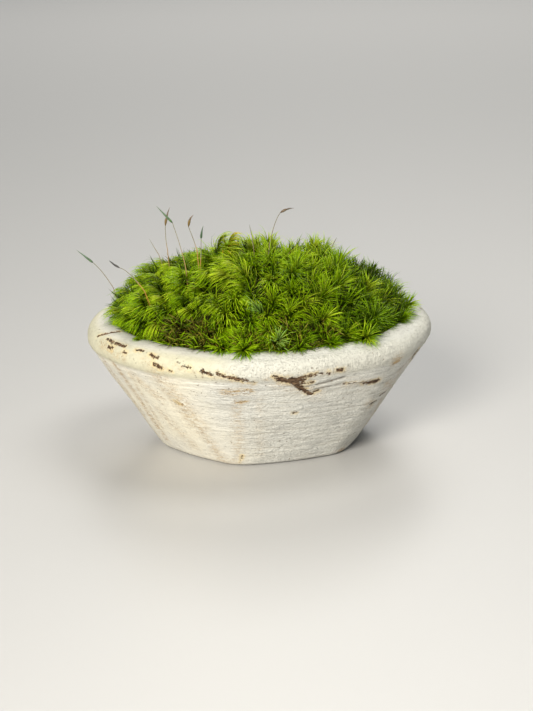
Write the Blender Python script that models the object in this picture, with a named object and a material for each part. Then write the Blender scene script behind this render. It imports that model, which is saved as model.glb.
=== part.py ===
"""A clump of fork moss growing in a hand-carved, white-painted wooden bowl.

Units are metres, +Z is up, and the origin is the centre of the bowl's flat underside. The bowl's front
looks toward -Y. Pieces: the bowl, the growing medium in it, the moss cushion on that, and the fruiting
stems that stand in the cushion. Each stem is a stalk with, when ripe, a capsule and its pointed hood.
"""

import math

import bmesh
import bpy
from mathutils import Vector, noise

# --- Driving dimensions ------------------------------------------------------------------------------

RIM_RADIUS = 0.0760  # outermost reach of the bowl's lip
BOWL_HEIGHT = 0.0540
DEPTH_SHARE = 0.985  # front-to-back size of the bowl as a share of its width
BASE_RADIUS = 0.0460  # where the wall leaves the table, at a corner
GAP = 0.0003  # between neighbouring pieces

WALL_TOP = (0.0737, 0.0450)  # radius and height where the sloping wall meets the lip's band
LIP_OUTER_ROUND = 0.0045
LIP_INNER_ROUND = 0.0030
MOUTH_RADIUS = 0.0640  # of the hollow just under the lip's inner round
INNER_WALL = (0.0560, 0.0330)  # a point half way down the hollow
INNER_FLOOR_RADIUS = 0.0340
FLOOR_HEIGHT = 0.0105
FLOOR_ROUND = 0.0060

MEDIUM_TOP = 0.0400  # of the growing medium at its edge
MEDIUM_CROWN = 0.0012  # how much higher its middle is
WALL_CLEARANCE = 0.0005  # kept by the medium and the moss from the inside of the bowl

CUSHION_HEIGHT = 0.0325  # of the moss above the rim, to the tips of its leaves
CUSHION_RADIUS = 0.0690  # of the moss where it swells over the lip
CUSHION_POWER = 2.3  # 2 is an ellipse, more is flatter on top and steeper at the side
LOBE_SIZE = 0.030  # across one swelling of the cushion
LOBE_HEIGHT = 0.0020

STALK_RADIUS = 0.00022
STALK_BURIED = 0.0080
SOCKET_RADIUS = 0.00065
CAPSULE_RADIUS = 0.00075
HOOD_RADIUS = 0.00058
JOIN_GAP = 0.0001  # between stalk, capsule and hood

# Directions of the base's six blunt corners, in degrees, and how far the carved flats show.
CORNERS_DEG = (-163, -103, -40, 18, 76, 138)
BASE_FLATNESS = 0.62
RIM_FLATNESS = 0.12
CORNER_ROUNDING = math.radians(7)

AROUND = 72  # steps round the bowl, the medium and the cushion
STALK_SIDES = 6
CAPSULE_SIDES = 8

# Each stem: the points of its stalk from the cushion's surface to its top, then the tip of its capsule
# and the tip of its hood. A young stem is a bare spear and has neither. All in millimetres.
STEMS = {
    "01": {
        "stalk": ((-64, 8, 66), (-68.5, 8, 73), (-72.5, 8, 77.5)),
        "capsule": (-74.5, 8, 79),
        "hood": (-79.5, 9, 83),
    },
    "02": {
        "stalk": ((-47.5, -36, 75), (-53.5, -33, 81.5), (-58, -30, 83.7)),
        "capsule": (-60.5, -29, 85),
        "hood": (-62.5, -28, 86.5),
    },
    "03": {"stalk": ((-44, 14, 79.5), (-46, 15, 82.5), (-48, 16, 86))},
    "04": {
        "stalk": ((-39, -6, 85.5), (-39.7, -5, 91.5), (-39.7, -4, 96)),
        "capsule": (-39, -4, 99.5),
        "hood": (-37.5, -4, 104),
    },
    "05": {
        "stalk": ((-30.5, -26, 81.5), (-32.5, -22, 89.5), (-36, -18, 100)),
        "capsule": (-37.7, -18, 102),
        "hood": (-42.5, -17, 107),
    },
    "06": {
        "stalk": ((-26, -14, 86.5), (-27, -13, 90), (-29.5, -12, 97)),
        "capsule": (-28.7, -12, 100.3),
        "hood": (-27.2, -12, 102),
    },
    "07": {
        "stalk": ((-24.5, -20, 83), (-24.2, -19, 88.5), (-24.1, -18, 93)),
        "capsule": (-23.8, -18, 95),
        "hood": (-23, -18, 98.5),
    },
    "08": {"stalk": ((-2.7, 8, 88), (-3.3, 9, 90.7), (-3.7, 10, 93))},
    "09": {
        "stalk": ((5, 3, 86), (6.7, 4, 94.5), (9.7, 5, 99.3)),
        "capsule": (12.8, 5, 101.2),
        "hood": (15.8, 5, 101.5),
    },
    "10": {"stalk": ((32.5, 13, 82), (33.5, 14, 83.7), (34.7, 15, 85.5))},
}
STALK_STEPS = 8


# --- The carved outline ------------------------------------------------------------------------------


def chord_radius(angle):
    """Radius of the hexagon whose corners lie on the unit circle at CORNERS_DEG."""
    corners = [math.radians(corner) for corner in CORNERS_DEG]
    corners.append(corners[0] + math.tau)
    turned = (angle - corners[0]) % math.tau + corners[0]
    for start, end in zip(corners, corners[1:]):
        if start <= turned <= end:
            middle = (start + end) / 2
            return math.cos((end - start) / 2) / math.cos(turned - middle)
    return 1.0


def carved(angle, height):
    """How far the outline is pulled in here: flats near the base, nearly round at the lip."""
    steps = (-1.0, -0.5, 0.0, 0.5, 1.0)
    hexagon = sum(chord_radius(angle + s * CORNER_ROUNDING) for s in steps) / len(steps)
    share = min(max(height / BOWL_HEIGHT, 0.0), 1.0)
    flatness = BASE_FLATNESS + (RIM_FLATNESS - BASE_FLATNESS) * math.sqrt(share)
    return 1 + flatness * (hexagon - 1)


def carve(mesh):
    """Turns a round body into the bowl's hand-carved outline."""
    for vertex in mesh.vertices:
        angle = math.atan2(vertex.co.y, vertex.co.x)
        pulled = carved(angle, vertex.co.z)
        vertex.co.x *= pulled
        vertex.co.y *= pulled * DEPTH_SHARE


# --- Making objects ----------------------------------------------------------------------------------


def clear_scene():
    for obj in list(bpy.data.objects):
        bpy.data.objects.remove(obj)


def material(name, colour, roughness):
    made = bpy.data.materials.new(name)
    made.use_nodes = True
    shader = made.node_tree.nodes["Principled BSDF"]
    shader.inputs["Base Color"].default_value = (*colour, 1)
    shader.inputs["Roughness"].default_value = roughness
    shader.inputs["Metallic"].default_value = 0
    return made


def to_mesh(name, shape):
    bmesh.ops.recalc_face_normals(shape, faces=shape.faces)
    mesh = bpy.data.meshes.new(name)
    shape.to_mesh(mesh)
    shape.free()
    return mesh


def add_object(name, mesh, finish=None):
    obj = bpy.data.objects.new(name, mesh)
    bpy.context.scene.collection.objects.link(obj)
    if finish:
        mesh.materials.append(finish)
    return obj


def turned_mesh(name, profile):
    """A closed body of revolution. The profile runs from the axis, out, up and back to the axis."""
    shape = bmesh.new()
    line = [shape.verts.new((radius, 0, height)) for radius, height in profile]
    edges = [shape.edges.new(pair) for pair in zip(line, line[1:])]
    bmesh.ops.spin(
        shape,
        geom=line + edges,
        cent=(0, 0, 0),
        axis=(0, 0, 1),
        angle=math.tau,
        steps=AROUND,
        use_merge=True,
    )
    bmesh.ops.remove_doubles(shape, verts=shape.verts, dist=1e-6)
    return to_mesh(name, shape)


def tube_mesh(name, path, radii, sides):
    """A closed round body along a path, with a radius for each of its points and flat ends."""
    shape = bmesh.new()
    side = (path[-1] - path[0]).normalized().orthogonal()
    rings = []
    for i, (place, radius) in enumerate(zip(path, radii)):
        forward = (path[min(i + 1, len(path) - 1)] - path[max(i - 1, 0)]).normalized()
        side = (side - forward * side.dot(forward)).normalized()
        across = forward.cross(side)
        ring = []
        for k in range(sides):
            turn = math.tau * k / sides
            reach = side * math.cos(turn) + across * math.sin(turn)
            ring.append(shape.verts.new(place + reach * radius))
        rings.append(ring)
    for low, high in zip(rings, rings[1:]):
        for k in range(sides):
            after = (k + 1) % sides
            shape.faces.new((low[k], low[after], high[after], high[k]))
    shape.faces.new(reversed(rings[0]))
    shape.faces.new(rings[-1])
    return to_mesh(name, shape)


def arc(centre, radius, start_deg, end_deg, steps):
    """Points of an arc in the profile's plane, both ends included."""
    points = []
    for i in range(steps + 1):
        turn = math.radians(start_deg + (end_deg - start_deg) * i / steps)
        points.append((centre[0] + radius * math.cos(turn), centre[1] + radius * math.sin(turn)))
    return points


# --- Bowl, growing medium and cushion ----------------------------------------------------------------

LIP_INNER_CENTRE = (MOUTH_RADIUS + LIP_INNER_ROUND, BOWL_HEIGHT - LIP_INNER_ROUND)


def bowl_profile():
    """Underside, sloping wall, lip, hollow and floor."""
    lip_outer = (RIM_RADIUS - LIP_OUTER_ROUND, BOWL_HEIGHT - LIP_OUTER_ROUND)
    floor_corner = (INNER_FLOOR_RADIUS, FLOOR_HEIGHT + FLOOR_ROUND)
    middle_radius = (BASE_RADIUS + WALL_TOP[0]) / 2
    return [
        (0, 0),
        (BASE_RADIUS - 0.0028, 0),
        (BASE_RADIUS - 0.0008, 0.0006),
        (BASE_RADIUS + 0.0005, 0.0022),
        (middle_radius + 0.0004, WALL_TOP[1] / 2 + 0.0010),
        (WALL_TOP[0] - 0.0008, WALL_TOP[1] - 0.0011),
        WALL_TOP,
        (RIM_RADIUS - 0.0006, 0.0470),
        *arc(lip_outer, LIP_OUTER_ROUND, 0, 90, 4),
        *arc(LIP_INNER_CENTRE, LIP_INNER_ROUND, 90, 180, 3),
        INNER_WALL,
        *arc(floor_corner, FLOOR_ROUND, -20, -90, 2),
        (0, FLOOR_HEIGHT),
    ]


def hollow_radius(height):
    """Radius of the hollow at a height between INNER_WALL and the lip's inner round."""
    share = (height - INNER_WALL[1]) / (LIP_INNER_CENTRE[1] - INNER_WALL[1])
    return INNER_WALL[0] + (MOUTH_RADIUS - INNER_WALL[0]) * share


def medium_profile():
    """A plug that fills the hollow from the floor up to the moss."""
    return [
        (0, FLOOR_HEIGHT + GAP),
        (INNER_FLOOR_RADIUS - 0.0010, FLOOR_HEIGHT + GAP),
        (0.0388, 0.0145),
        (INNER_WALL[0] - WALL_CLEARANCE * 1.3, INNER_WALL[1]),
        (hollow_radius(MEDIUM_TOP) - WALL_CLEARANCE, MEDIUM_TOP),
        (0, MEDIUM_TOP + MEDIUM_CROWN),
    ]


def dome_height(radius):
    """Height of the smooth cushion above the rim at this distance from the axis."""
    inside = max(0.0, 1 - (radius / CUSHION_RADIUS) ** CUSHION_POWER)
    return CUSHION_HEIGHT * math.sqrt(inside)


def cushion_profile():
    """The cushion's underside, its side inside the bowl, the swell over the lip and the dome."""
    over_lip = arc(LIP_INNER_CENTRE, LIP_INNER_ROUND + WALL_CLEARANCE, 180, 100, 3)
    dome = []
    for share in (0.985, 0.95, 0.89, 0.80, 0.68, 0.54, 0.38, 0.20):
        radius = CUSHION_RADIUS * share
        dome.append((radius, BOWL_HEIGHT + dome_height(radius)))
    return [
        (0, MEDIUM_TOP + MEDIUM_CROWN + GAP),
        (hollow_radius(MEDIUM_TOP) - WALL_CLEARANCE, MEDIUM_TOP + GAP),
        *over_lip,
        (CUSHION_RADIUS - 0.0006, BOWL_HEIGHT + 0.0024),
        *dome,
        (0, BOWL_HEIGHT + CUSHION_HEIGHT),
    ]


def swell(mesh):
    """Raises soft lobes on the dome. The part inside the bowl keeps its shape."""
    for vertex in mesh.vertices:
        above = vertex.co.z - (BOWL_HEIGHT + 0.0030)
        if above <= 0:
            continue
        share = min(above / 0.010, 1.0)
        lobe = noise.noise(vertex.co / LOBE_SIZE + Vector((3.1, 0.4, 1.7)))
        outward = Vector((vertex.co.x, vertex.co.y, 0.030)).normalized()
        vertex.co += outward * (LOBE_HEIGHT * share * lobe)


def build_round(name, profile, finish):
    """A body turned from a profile and carved to the bowl's outline."""
    mesh = turned_mesh(name, profile)
    carve(mesh)
    return add_object(name, mesh, finish)


# --- Fruiting stems ----------------------------------------------------------------------------------


def smooth_path(points, steps):
    """Points of the quadratic curve through three given ones."""
    first, middle, last = points
    pulled = middle * 2 - (first + last) / 2
    path = []
    for i in range(steps + 1):
        t = i / steps
        path.append(first * (1 - t) ** 2 + pulled * (2 * t * (1 - t)) + last * t**2)
    return path


def stalk_path(places):
    """The stalk's centreline, carried on down into its socket in the cushion."""
    seen = smooth_path(places, STALK_STEPS)
    down = ((seen[0] - seen[1]).normalized() + Vector((0, 0, -1))).normalized()
    return [seen[0] + down * STALK_BURIED, *seen]


def spindle(name, start, end, radius, shares, finish):
    """A round body from start to end. shares are (place along it, share of the radius) pairs."""
    path = [start.lerp(end, place) for place, _ in shares]
    radii = [radius * share for _, share in shares]
    add_object(name, tube_mesh(name, path, radii, CAPSULE_SIDES), finish)


def build_stem(number, places, finishes):
    """One fruiting stem. Returns its stalk's path, for the socket."""
    path = stalk_path([Vector(point) / 1000 for point in places["stalk"]])
    ripe = "capsule" in places
    radii = [STALK_RADIUS] * len(path)
    if not ripe:
        radii[-2:] = [STALK_RADIUS * 0.8, STALK_RADIUS * 0.3]
    name = f"stalk_{number}"
    add_object(name, tube_mesh(name, path, radii, STALK_SIDES), finishes["stalk"])
    if ripe:
        neck = path[-1]
        mouth = Vector(places["capsule"]) / 1000
        tip = Vector(places["hood"]) / 1000
        spindle(
            f"capsule_{number}",
            neck + (mouth - neck).normalized() * JOIN_GAP,
            mouth,
            CAPSULE_RADIUS,
            ((0, 0.4), (0.3, 0.85), (0.65, 1.0), (1.0, 0.8)),
            finishes["capsule"],
        )
        spindle(
            f"hood_{number}",
            mouth + ((tip - mouth).normalized() + (mouth - neck).normalized()) * 2 * JOIN_GAP,
            tip,
            HOOD_RADIUS,
            ((0, 0.9), (0.3, 0.75), (0.65, 0.4), (1.0, 0.12)),
            finishes["hood"],
        )
    return path


def cut_socket(cushion, number, path):
    """A narrow hole in the cushion round the buried end of a stalk."""
    down = (path[0] - path[1]).normalized()
    above = path[1] + (path[3] - path[1]) * 1.6
    line = [path[0] + down * 0.0005, path[1], above]
    name = f"socket_{number}"
    cutter = add_object(name, tube_mesh(name, line, [SOCKET_RADIUS] * 3, STALK_SIDES))
    cutter.hide_render = True
    cutter.display_type = "WIRE"
    cut = cushion.modifiers.new(name, "BOOLEAN")
    cut.operation = "DIFFERENCE"
    cut.solver = "EXACT"
    cut.object = cutter


def main():
    clear_scene()
    build_round("bowl", bowl_profile(), material("white_paint", (0.80, 0.76, 0.66), 0.6))
    build_round("growing_medium", medium_profile(), material("dark_peat", (0.05, 0.035, 0.022), 0.95))
    moss = material("moss_green", (0.15, 0.25, 0.02), 0.6)
    cushion = build_round("moss_cushion", cushion_profile(), moss)
    swell(cushion.data)
    finishes = {
        "stalk": material("stalk_tan", (0.36, 0.25, 0.10), 0.5),
        "capsule": material("capsule_brown", (0.22, 0.10, 0.03), 0.45),
        "hood": material("hood_green", (0.10, 0.13, 0.06), 0.5),
    }
    for number, places in STEMS.items():
        path = build_stem(number, places, finishes)
        cut_socket(cushion, number, path)


main()
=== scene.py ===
import math

import bpy
import numpy as np
from mathutils import Matrix, Vector


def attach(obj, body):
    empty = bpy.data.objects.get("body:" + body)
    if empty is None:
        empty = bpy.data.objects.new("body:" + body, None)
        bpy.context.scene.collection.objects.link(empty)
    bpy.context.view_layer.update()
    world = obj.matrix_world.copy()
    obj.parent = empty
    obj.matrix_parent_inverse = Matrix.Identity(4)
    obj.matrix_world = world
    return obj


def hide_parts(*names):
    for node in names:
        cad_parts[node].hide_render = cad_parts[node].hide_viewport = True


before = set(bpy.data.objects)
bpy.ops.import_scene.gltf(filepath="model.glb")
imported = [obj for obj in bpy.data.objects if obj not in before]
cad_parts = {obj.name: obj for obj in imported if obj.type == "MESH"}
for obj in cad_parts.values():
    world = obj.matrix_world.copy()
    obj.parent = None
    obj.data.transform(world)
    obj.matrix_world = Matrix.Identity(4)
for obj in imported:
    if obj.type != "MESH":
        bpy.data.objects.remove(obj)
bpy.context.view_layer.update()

# Lengths below are in millimetres, in the CAD frame. MM turns them into metres.
MM = 0.001
GOLDEN_TURN = math.radians(137.508)
SQUASH = 0.985  # the bowl and the moss are a little narrower from front to back


# --- Numbers and noise ---


def smoothstep(low, high, x):
    t = np.clip((x - low) / (high - low), 0.0, 1.0)
    return t * t * (3.0 - 2.0 * t)


def unit(v):
    return v / np.maximum(np.linalg.norm(v, axis=-1, keepdims=True), 1e-9)


class Noise:
    """Smooth 3-D gradient noise of about -0.7 to 0.7, the same each run."""

    def __init__(self, seed):
        rng = np.random.default_rng(seed)
        self.order = rng.permutation(256)
        self.slopes = unit(rng.normal(size=(256, 3)))

    def __call__(self, p):
        p = np.asarray(p, float)
        cell = np.floor(p).astype(int)
        part = p - cell
        ease = part ** 3 * (part * (part * 6 - 15) + 10)
        total = np.zeros(len(p))
        for corner in np.ndindex(2, 2, 2):
            at = (cell + corner) & 255
            h = self.order[at[:, 0]]
            h = self.order[(h + at[:, 1]) & 255]
            h = self.order[(h + at[:, 2]) & 255]
            weight = np.prod(np.where(corner, ease, 1 - ease), axis=1)
            total += weight * ((part - corner) * self.slopes[h]).sum(1)
        return total


lobes = Noise(11)
fine = Noise(23)
swirl = Noise(37)


# --- Meshes and materials ---


def add_object(name, data):
    obj = bpy.data.objects.new(name, data)
    bpy.context.scene.collection.objects.link(obj)
    return obj


def mesh_object(name, points, faces, skin, uv=None, attributes=None):
    """A smooth-shaded mesh piece. points are in millimetres, faces are arrays of 3 or 4 corners each."""
    data = bpy.data.meshes.new(name)
    data.vertices.add(len(points))
    data.vertices.foreach_set("co", (np.asarray(points) * MM).astype(np.float32).ravel())
    sizes = np.concatenate([np.full(len(f), f.shape[1]) for f in faces])
    corners = np.concatenate([f.ravel() for f in faces]).astype(np.int32)
    data.loops.add(len(corners))
    data.loops.foreach_set("vertex_index", corners)
    data.polygons.add(len(sizes))
    starts = np.concatenate([[0], np.cumsum(sizes)[:-1]]).astype(np.int32)
    data.polygons.foreach_set("loop_start", starts)
    data.update(calc_edges=True)
    if uv is not None:
        layer = data.uv_layers.new(name="OFBake")
        layer.data.foreach_set("uv", uv[corners].astype(np.float32).ravel())
    for key, values in (attributes or {}).items():
        made = data.attributes.new(key, "FLOAT", "POINT")
        made.data.foreach_set("value", values.astype(np.float32))
    data.validate()
    data.shade_smooth()
    data.materials.append(skin)
    obj = add_object(name, data)
    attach(obj, "root")
    return obj


class Nodes:
    """Short calls for building one material's node tree."""

    def __init__(self, name):
        self.material = bpy.data.materials.new(name)
        self.material.use_nodes = True
        self.tree = self.material.node_tree
        self.tree.nodes.clear()
        self.out = self.tree.nodes.new("ShaderNodeOutputMaterial")

    def add(self, kind, inputs=None, **settings):
        node = self.tree.nodes.new("ShaderNode" + kind)
        for key, value in settings.items():
            setattr(node, key, value)
        for key, value in (inputs or {}).items():
            self.put(node.inputs[key], value)
        return node

    def put(self, socket, value):
        if isinstance(value, bpy.types.NodeSocket):
            self.tree.links.new(value, socket)
        elif hasattr(value, "__len__") and socket.type == "RGBA" and len(value) == 3:
            socket.default_value = (*value, 1)
        else:
            socket.default_value = value

    def math(self, operation, a, b=0.0, clamp=False):
        return self.add("Math", {0: a, 1: b}, operation=operation, use_clamp=clamp).outputs[0]

    def times(self, a, b, clamp=False):
        return self.math("MULTIPLY", a, b, clamp)

    def plus(self, a, b):
        return self.math("ADD", a, b)

    def minus(self, a, b, clamp=False):
        return self.math("SUBTRACT", a, b, clamp)

    def map_places(self):
        """The two numbers that a piece's map holds."""
        place = self.add("UVMap", uv_map="OFBake").outputs[0]
        return self.add("SeparateXYZ", {0: place}).outputs[:2]

    def attribute(self, name):
        return self.add("Attribute", attribute_name=name).outputs["Fac"]

    def noise(self, stretch, detail=3.0, roughness=0.55):
        """Noise with its own number of cells per metre along x, y and z."""
        place = self.add("TexCoord").outputs["Object"]
        stretched = self.add("Mapping", {"Vector": place, "Scale": stretch})
        inputs = {"Vector": stretched.outputs[0], "Scale": 1.0, "Detail": detail, "Roughness": roughness}
        return self.add("TexNoise", inputs).outputs["Fac"]

    def ramp(self, value, stops):
        node = self.add("ValToRGB", {"Fac": value})
        elements = node.color_ramp.elements
        while len(elements) < len(stops):
            elements.new(0.5)
        for element, (place, colour) in zip(elements, stops):
            element.position = place
            element.color = (*colour, 1) if hasattr(colour, "__len__") else (colour,) * 3 + (1,)
        return node.outputs["Color"]

    def step(self, value, low, high):
        inputs = {"Value": value, "From Min": low, "From Max": high}
        return self.add("MapRange", inputs, interpolation_type="SMOOTHSTEP").outputs["Result"]

    def mix(self, amount, a, b, blend="MIX"):
        node = self.add("Mix", data_type="RGBA", blend_type=blend)
        self.put(node.inputs[0], amount)
        self.put(node.inputs[6], a)
        self.put(node.inputs[7], b)
        return node.outputs[2]

    def bump(self, height, distance):
        return self.add("Bump", {"Height": height, "Distance": distance}).outputs["Normal"]

    def finish(self, shader):
        self.tree.links.new(shader.outputs[0], self.out.inputs["Surface"])
        return self.material

    def principled(self, inputs):
        return self.finish(self.add("BsdfPrincipled", inputs))


def ring_faces(rows, columns):
    """Faces of a closed body made of rings of points, with its first and last end points after the rings."""
    first = np.arange(columns)
    after = (first + 1) % columns
    quads = []
    for row in range(rows - 1):
        low, high = row * columns, (row + 1) * columns
        quads.append(np.stack([low + first, low + after, high + after, high + first], 1))
    bottom = np.full(columns, rows * columns)
    last = (rows - 1) * columns
    caps = [np.stack([bottom, after, first], 1), np.stack([bottom + 1, last + first, last + after], 1)]
    return [np.concatenate(quads), *caps]


# --- The bowl's carved outline ---

CORNERS = np.radians([-163, -103, -40, 18, 76, 138])  # where the base's six corners are
CORNER_BLUR = math.radians(7)
BOWL_TOP = 54.0
BOWL_COLUMNS = 640
SECTION_STEP = 0.66


def carved(angle, height):
    """How far the outline is pulled in: flats near the base, nearly round at the lip."""
    ends = np.append(CORNERS, CORNERS[0] + math.tau)
    hexagon = np.zeros(np.shape(angle))
    for shift in (-1.0, -0.5, 0.0, 0.5, 1.0):
        turned = (angle + shift * CORNER_BLUR - ends[0]) % math.tau + ends[0]
        k = np.clip(np.searchsorted(ends, turned, "right") - 1, 0, 5)
        half = (ends[k + 1] - ends[k]) / 2
        hexagon += np.cos(half) / np.cos(turned - ends[k] - half) / 5
    share = np.clip(height / BOWL_TOP, 0, 1)
    flatness = 0.62 - 0.50 * np.sqrt(share)
    return 1 + flatness * (hexagon - 1)


# Radius and height along the bowl's section, from under the base, up the wall, over the lip, down inside.
SECTION = np.array([
    (42.0, 0.0), (43.6, 0.1), (45.1, 0.6), (46.1, 1.5), (46.9, 2.8), (50.5, 8.4), (55.0, 15.4),
    (60.4, 23.8), (65.4, 31.6), (70.2, 39.2), (74.0, 45.1), (75.1, 46.9), (75.55, 47.9), (75.8, 48.8),
    (75.85, 49.8), (75.65, 51.1), (75.1, 52.4), (74.1, 53.4), (72.6, 54.2), (70.6, 54.8), (68.5, 55.3),
    (66.5, 55.6), (64.6, 55.6), (63.0, 55.2), (61.9, 54.3), (61.3, 53.0), (61.1, 51.5), (61.0, 50.0),
    (59.3, 42.0), (56.3, 33.2),
])


def along_section(points, step):
    """Evenly spaced points on a smooth line through the section's points, and how far along each lies."""
    run = np.concatenate([[0], np.cumsum(np.linalg.norm(np.diff(points, axis=0), axis=1))])
    slopes = np.gradient(points, run, axis=0)
    where = np.linspace(0, run[-1], int(run[-1] / step) + 1)
    k = np.clip(np.searchsorted(run, where, "right") - 1, 0, len(run) - 2)
    width = (run[k + 1] - run[k])[:, None]
    t = ((where - run[k]) / width[:, 0])[:, None]
    a, b = points[k], points[k + 1]
    ta, tb = slopes[k] * width, slopes[k + 1] * width
    line = (2 * t**3 - 3 * t**2 + 1) * a + (t**3 - 2 * t**2 + t) * ta
    line = line + (3 * t**2 - 2 * t**3) * b + (t**3 - t**2) * tb
    return line, where


# Places on the bowl are (degrees round it, millimetres along the section from the base's edge).
RIDGE_RUN = 57.5  # where the lip's band begins
RIM_RUN = 64.0  # from here on the lip faces up, so chips are sunk down instead of in
HOLLOW_RUN = 84.0  # from here on, down inside the hollow, fewer rows are enough
NO_CHIP = -4.0

# Each chip: its two ends, and half its width.
CHIPS = [
    ((-158.5, 66.1), (-156.5, 69.9), 0.9), ((-156.5, 69.9), (-155, 74), 0.85),
    ((-152.6, 66.9), (-147.6, 66.6), 0.5), ((-147.6, 66.6), (-140.7, 66.6), 0.65),
    ((-148.4, 63.6), (-145.9, 63.7), 0.7), ((-139.8, 64.1), (-138.1, 63.9), 0.4),
    ((-134.8, 66.5), (-131.4, 66.9), 0.45), ((-127.9, 66.1), (-124.5, 65), 0.7),
    ((-125.5, 62.2), (-122.3, 61), 0.65), ((-119.4, 60.4), (-118.6, 60), 0.25),
    ((-116.6, 64.5), (-115.9, 64.3), 0.3), ((-114.9, 63.1), (-112.1, 62.7), 0.35),
    ((-108.2, 61.8), (-105.2, 60.6), 0.6), ((-103.4, 61.2), (-99.3, 59.7), 0.5),
    ((-99.3, 59.7), (-94.2, 57.9), 0.78), ((-92.5, 57.3), (-92, 56.7), 0.25),
    ((-85.5, 59.7), (-83, 58.1), 0.75), ((-84, 57.9), (-78.5, 55.5), 1.35),
    ((-80.5, 57.8), (-76.5, 56.3), 1.3), ((-79, 55.3), (-76, 51), 1.2),
    ((-76.3, 51.1), (-72, 46.9), 0.95), ((-73, 46.9), (-69.8, 48.8), 0.6),
    ((-77.5, 58.1), (-72.5, 58.9), 0.6), ((-71.8, 59.3), (-70.3, 59.2), 0.3),
    ((-68.3, 59.3), (-67.4, 58.6), 0.5), ((-65, 60), (-63.3, 59.6), 0.75),
    ((-76.5, 54.1), (-72.5, 54.5), 0.35), ((-60.5, 50.6), (-58, 50.3), 0.22),
    ((-57, 50.1), (-55.6, 50), 0.25), ((-53, 49.3), (-50.6, 48.6), 0.55),
    ((-49.6, 48.4), (-45.3, 48.2), 0.95), ((-36.5, 36.6), (-31.5, 37.1), 0.38),
    ((-41, 33.1), (-37.6, 33.3), 0.4), ((-77.5, 36.4), (-76.8, 36.2), 0.5),
    ((-28.6, 57.4), (-25.2, 58), 0.5), ((-26, 54.6), (-19, 56.8), 0.9), ((-22, 50.4), (-19, 52), 0.6),
    ((-16, 47.6), (-14, 51), 0.5), ((-123.6, 41), (-122.4, 40.2), 0.4),
    ((-102.4, 3.2), (-99.4, 10.2), 0.05),
]

# Each worn, brownish rub: its two ends, half its width, and how strong it is.
RUBS = [
    ((-102, 50.3), (-93.5, 51.4), 1.4, 1.3), ((-98.9, 44.2), (-95.2, 44.6), 1.0, 1.0),
    ((-98.5, 44), (-101, 10), 2.2, 0.36), ((-90.5, 46), (-91, 10), 1.8, 0.18),
    ((-124.5, 41.0), (-119.5, 39.2), 2.0, 0.9), ((-127, 47), (-121, 35), 1.8, 0.35),
    ((-78, 52), (-70, 47), 3.0, 0.30), ((-84, 56), (-78, 52), 2.6, 0.5),
    ((-42, 58.8), (-40, 59.0), 1.6, 0.8), ((-147, 56), (-151, 10), 1.7, 0.75),
    ((-141, 52), (-146, 18), 1.2, 0.45), ((-156, 57), (-158, 22), 1.4, 0.55),
    ((-160, 50), (-163, 8), 2.2, 0.5), ((-125, 56), (-118, 26), 4.0, 0.55),
    ((-118, 26), (-111, 4), 2.5, 0.45), ((-140, 52), (-131, 40), 2.5, 0.45),
    ((-137, 30), (-128, 12), 3.0, 0.35), ((-30, 30), (-18, 12), 3.0, 0.6),
    ((-38, 44), (-22, 36), 2.0, 0.5), ((-154, 63.5), (-139, 61.5), 1.5, 0.55),
    ((-130, 63), (-121, 60), 1.4, 0.4), ((-118, 63), (-108, 60), 1.2, 0.3),
    ((-104, 59.4), (-92, 56.0), 1.3, 0.45), ((-113, 7), (-105, 6), 1.4, 0.4),
    ((-88, 58.5), (-62, 59.5), 1.3, 0.35), ((-60, 50.3), (-44, 48.2), 1.5, 0.3),
    ((-33, 42), (-24, 52), 2.0, 0.35), ((-41.5, 57.6), (-40, 58.2), 1.3, 1.7),
    ((-43, 35), (-40, 31), 1.8, 0.55), ((-42, 4.5), (-39, 4.0), 1.4, 0.9),
    ((-33, 50), (-28, 56), 1.6, 0.5),
]

# Ridges (above zero) and gouges (below) left by the carver's tools: two ends, half width and height.
TOOL_MARKS = [
    ((-110, 3), (-125, 57), 5.5, 0.55), ((-112, 3), (-131, 50), 3.5, -0.22),
    ((-76, 51.0), (-61.5, 54.9), 0.75, -0.75), ((-71, 49.8), (-60, 51.2), 0.6, -0.25),
    ((-47, 4), (-43, 50), 6.0, 0.30), ((12, 4), (9, 52), 6.0, 0.35), ((70, 4), (78, 50), 5.5, 0.45),
    ((131, 4), (139, 52), 6.0, 0.40), ((-168, 4), (-162, 50), 5.5, 0.35),
    ((38, 47), (56, 49.5), 0.8, -0.35), ((160, 44), (173, 46), 0.7, -0.35),
]


def wear_behind(rng):
    """Chips and rubs round the side and back, of the same kinds as in front."""
    chips, rubs = [], []
    place = -8.0
    while place < 176.0:
        run = RIDGE_RUN + rng.normal(0, 1.3)
        length = rng.uniform(0.6, 5.5)
        tilt = rng.normal(0, 1.0)
        chips.append(((place, run), (place + length, run + tilt), rng.uniform(0.3, 1.0)))
        rubs.append(((place - 1, run), (place + length + 1, run + tilt), 1.3, rng.uniform(0.2, 0.6)))
        place += length + rng.gamma(2.0, 4.5)
    for _ in range(13):
        place = rng.uniform(-5, 178)
        run = rng.choice([rng.uniform(6, 52), rng.uniform(60, 70)])
        end = (place + rng.uniform(0.5, 3), run + rng.normal(0, 1.5))
        chips.append(((place, run), end, rng.uniform(0.25, 0.7)))
    for _ in range(16):
        place = rng.uniform(-15, 182)
        low = rng.uniform(3, 40)
        end = (place + rng.normal(0, 2), low + rng.uniform(6, 22))
        rubs.append(((place, low), end, 1.6, rng.uniform(0.2, 0.7)))
    return chips, rubs


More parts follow.
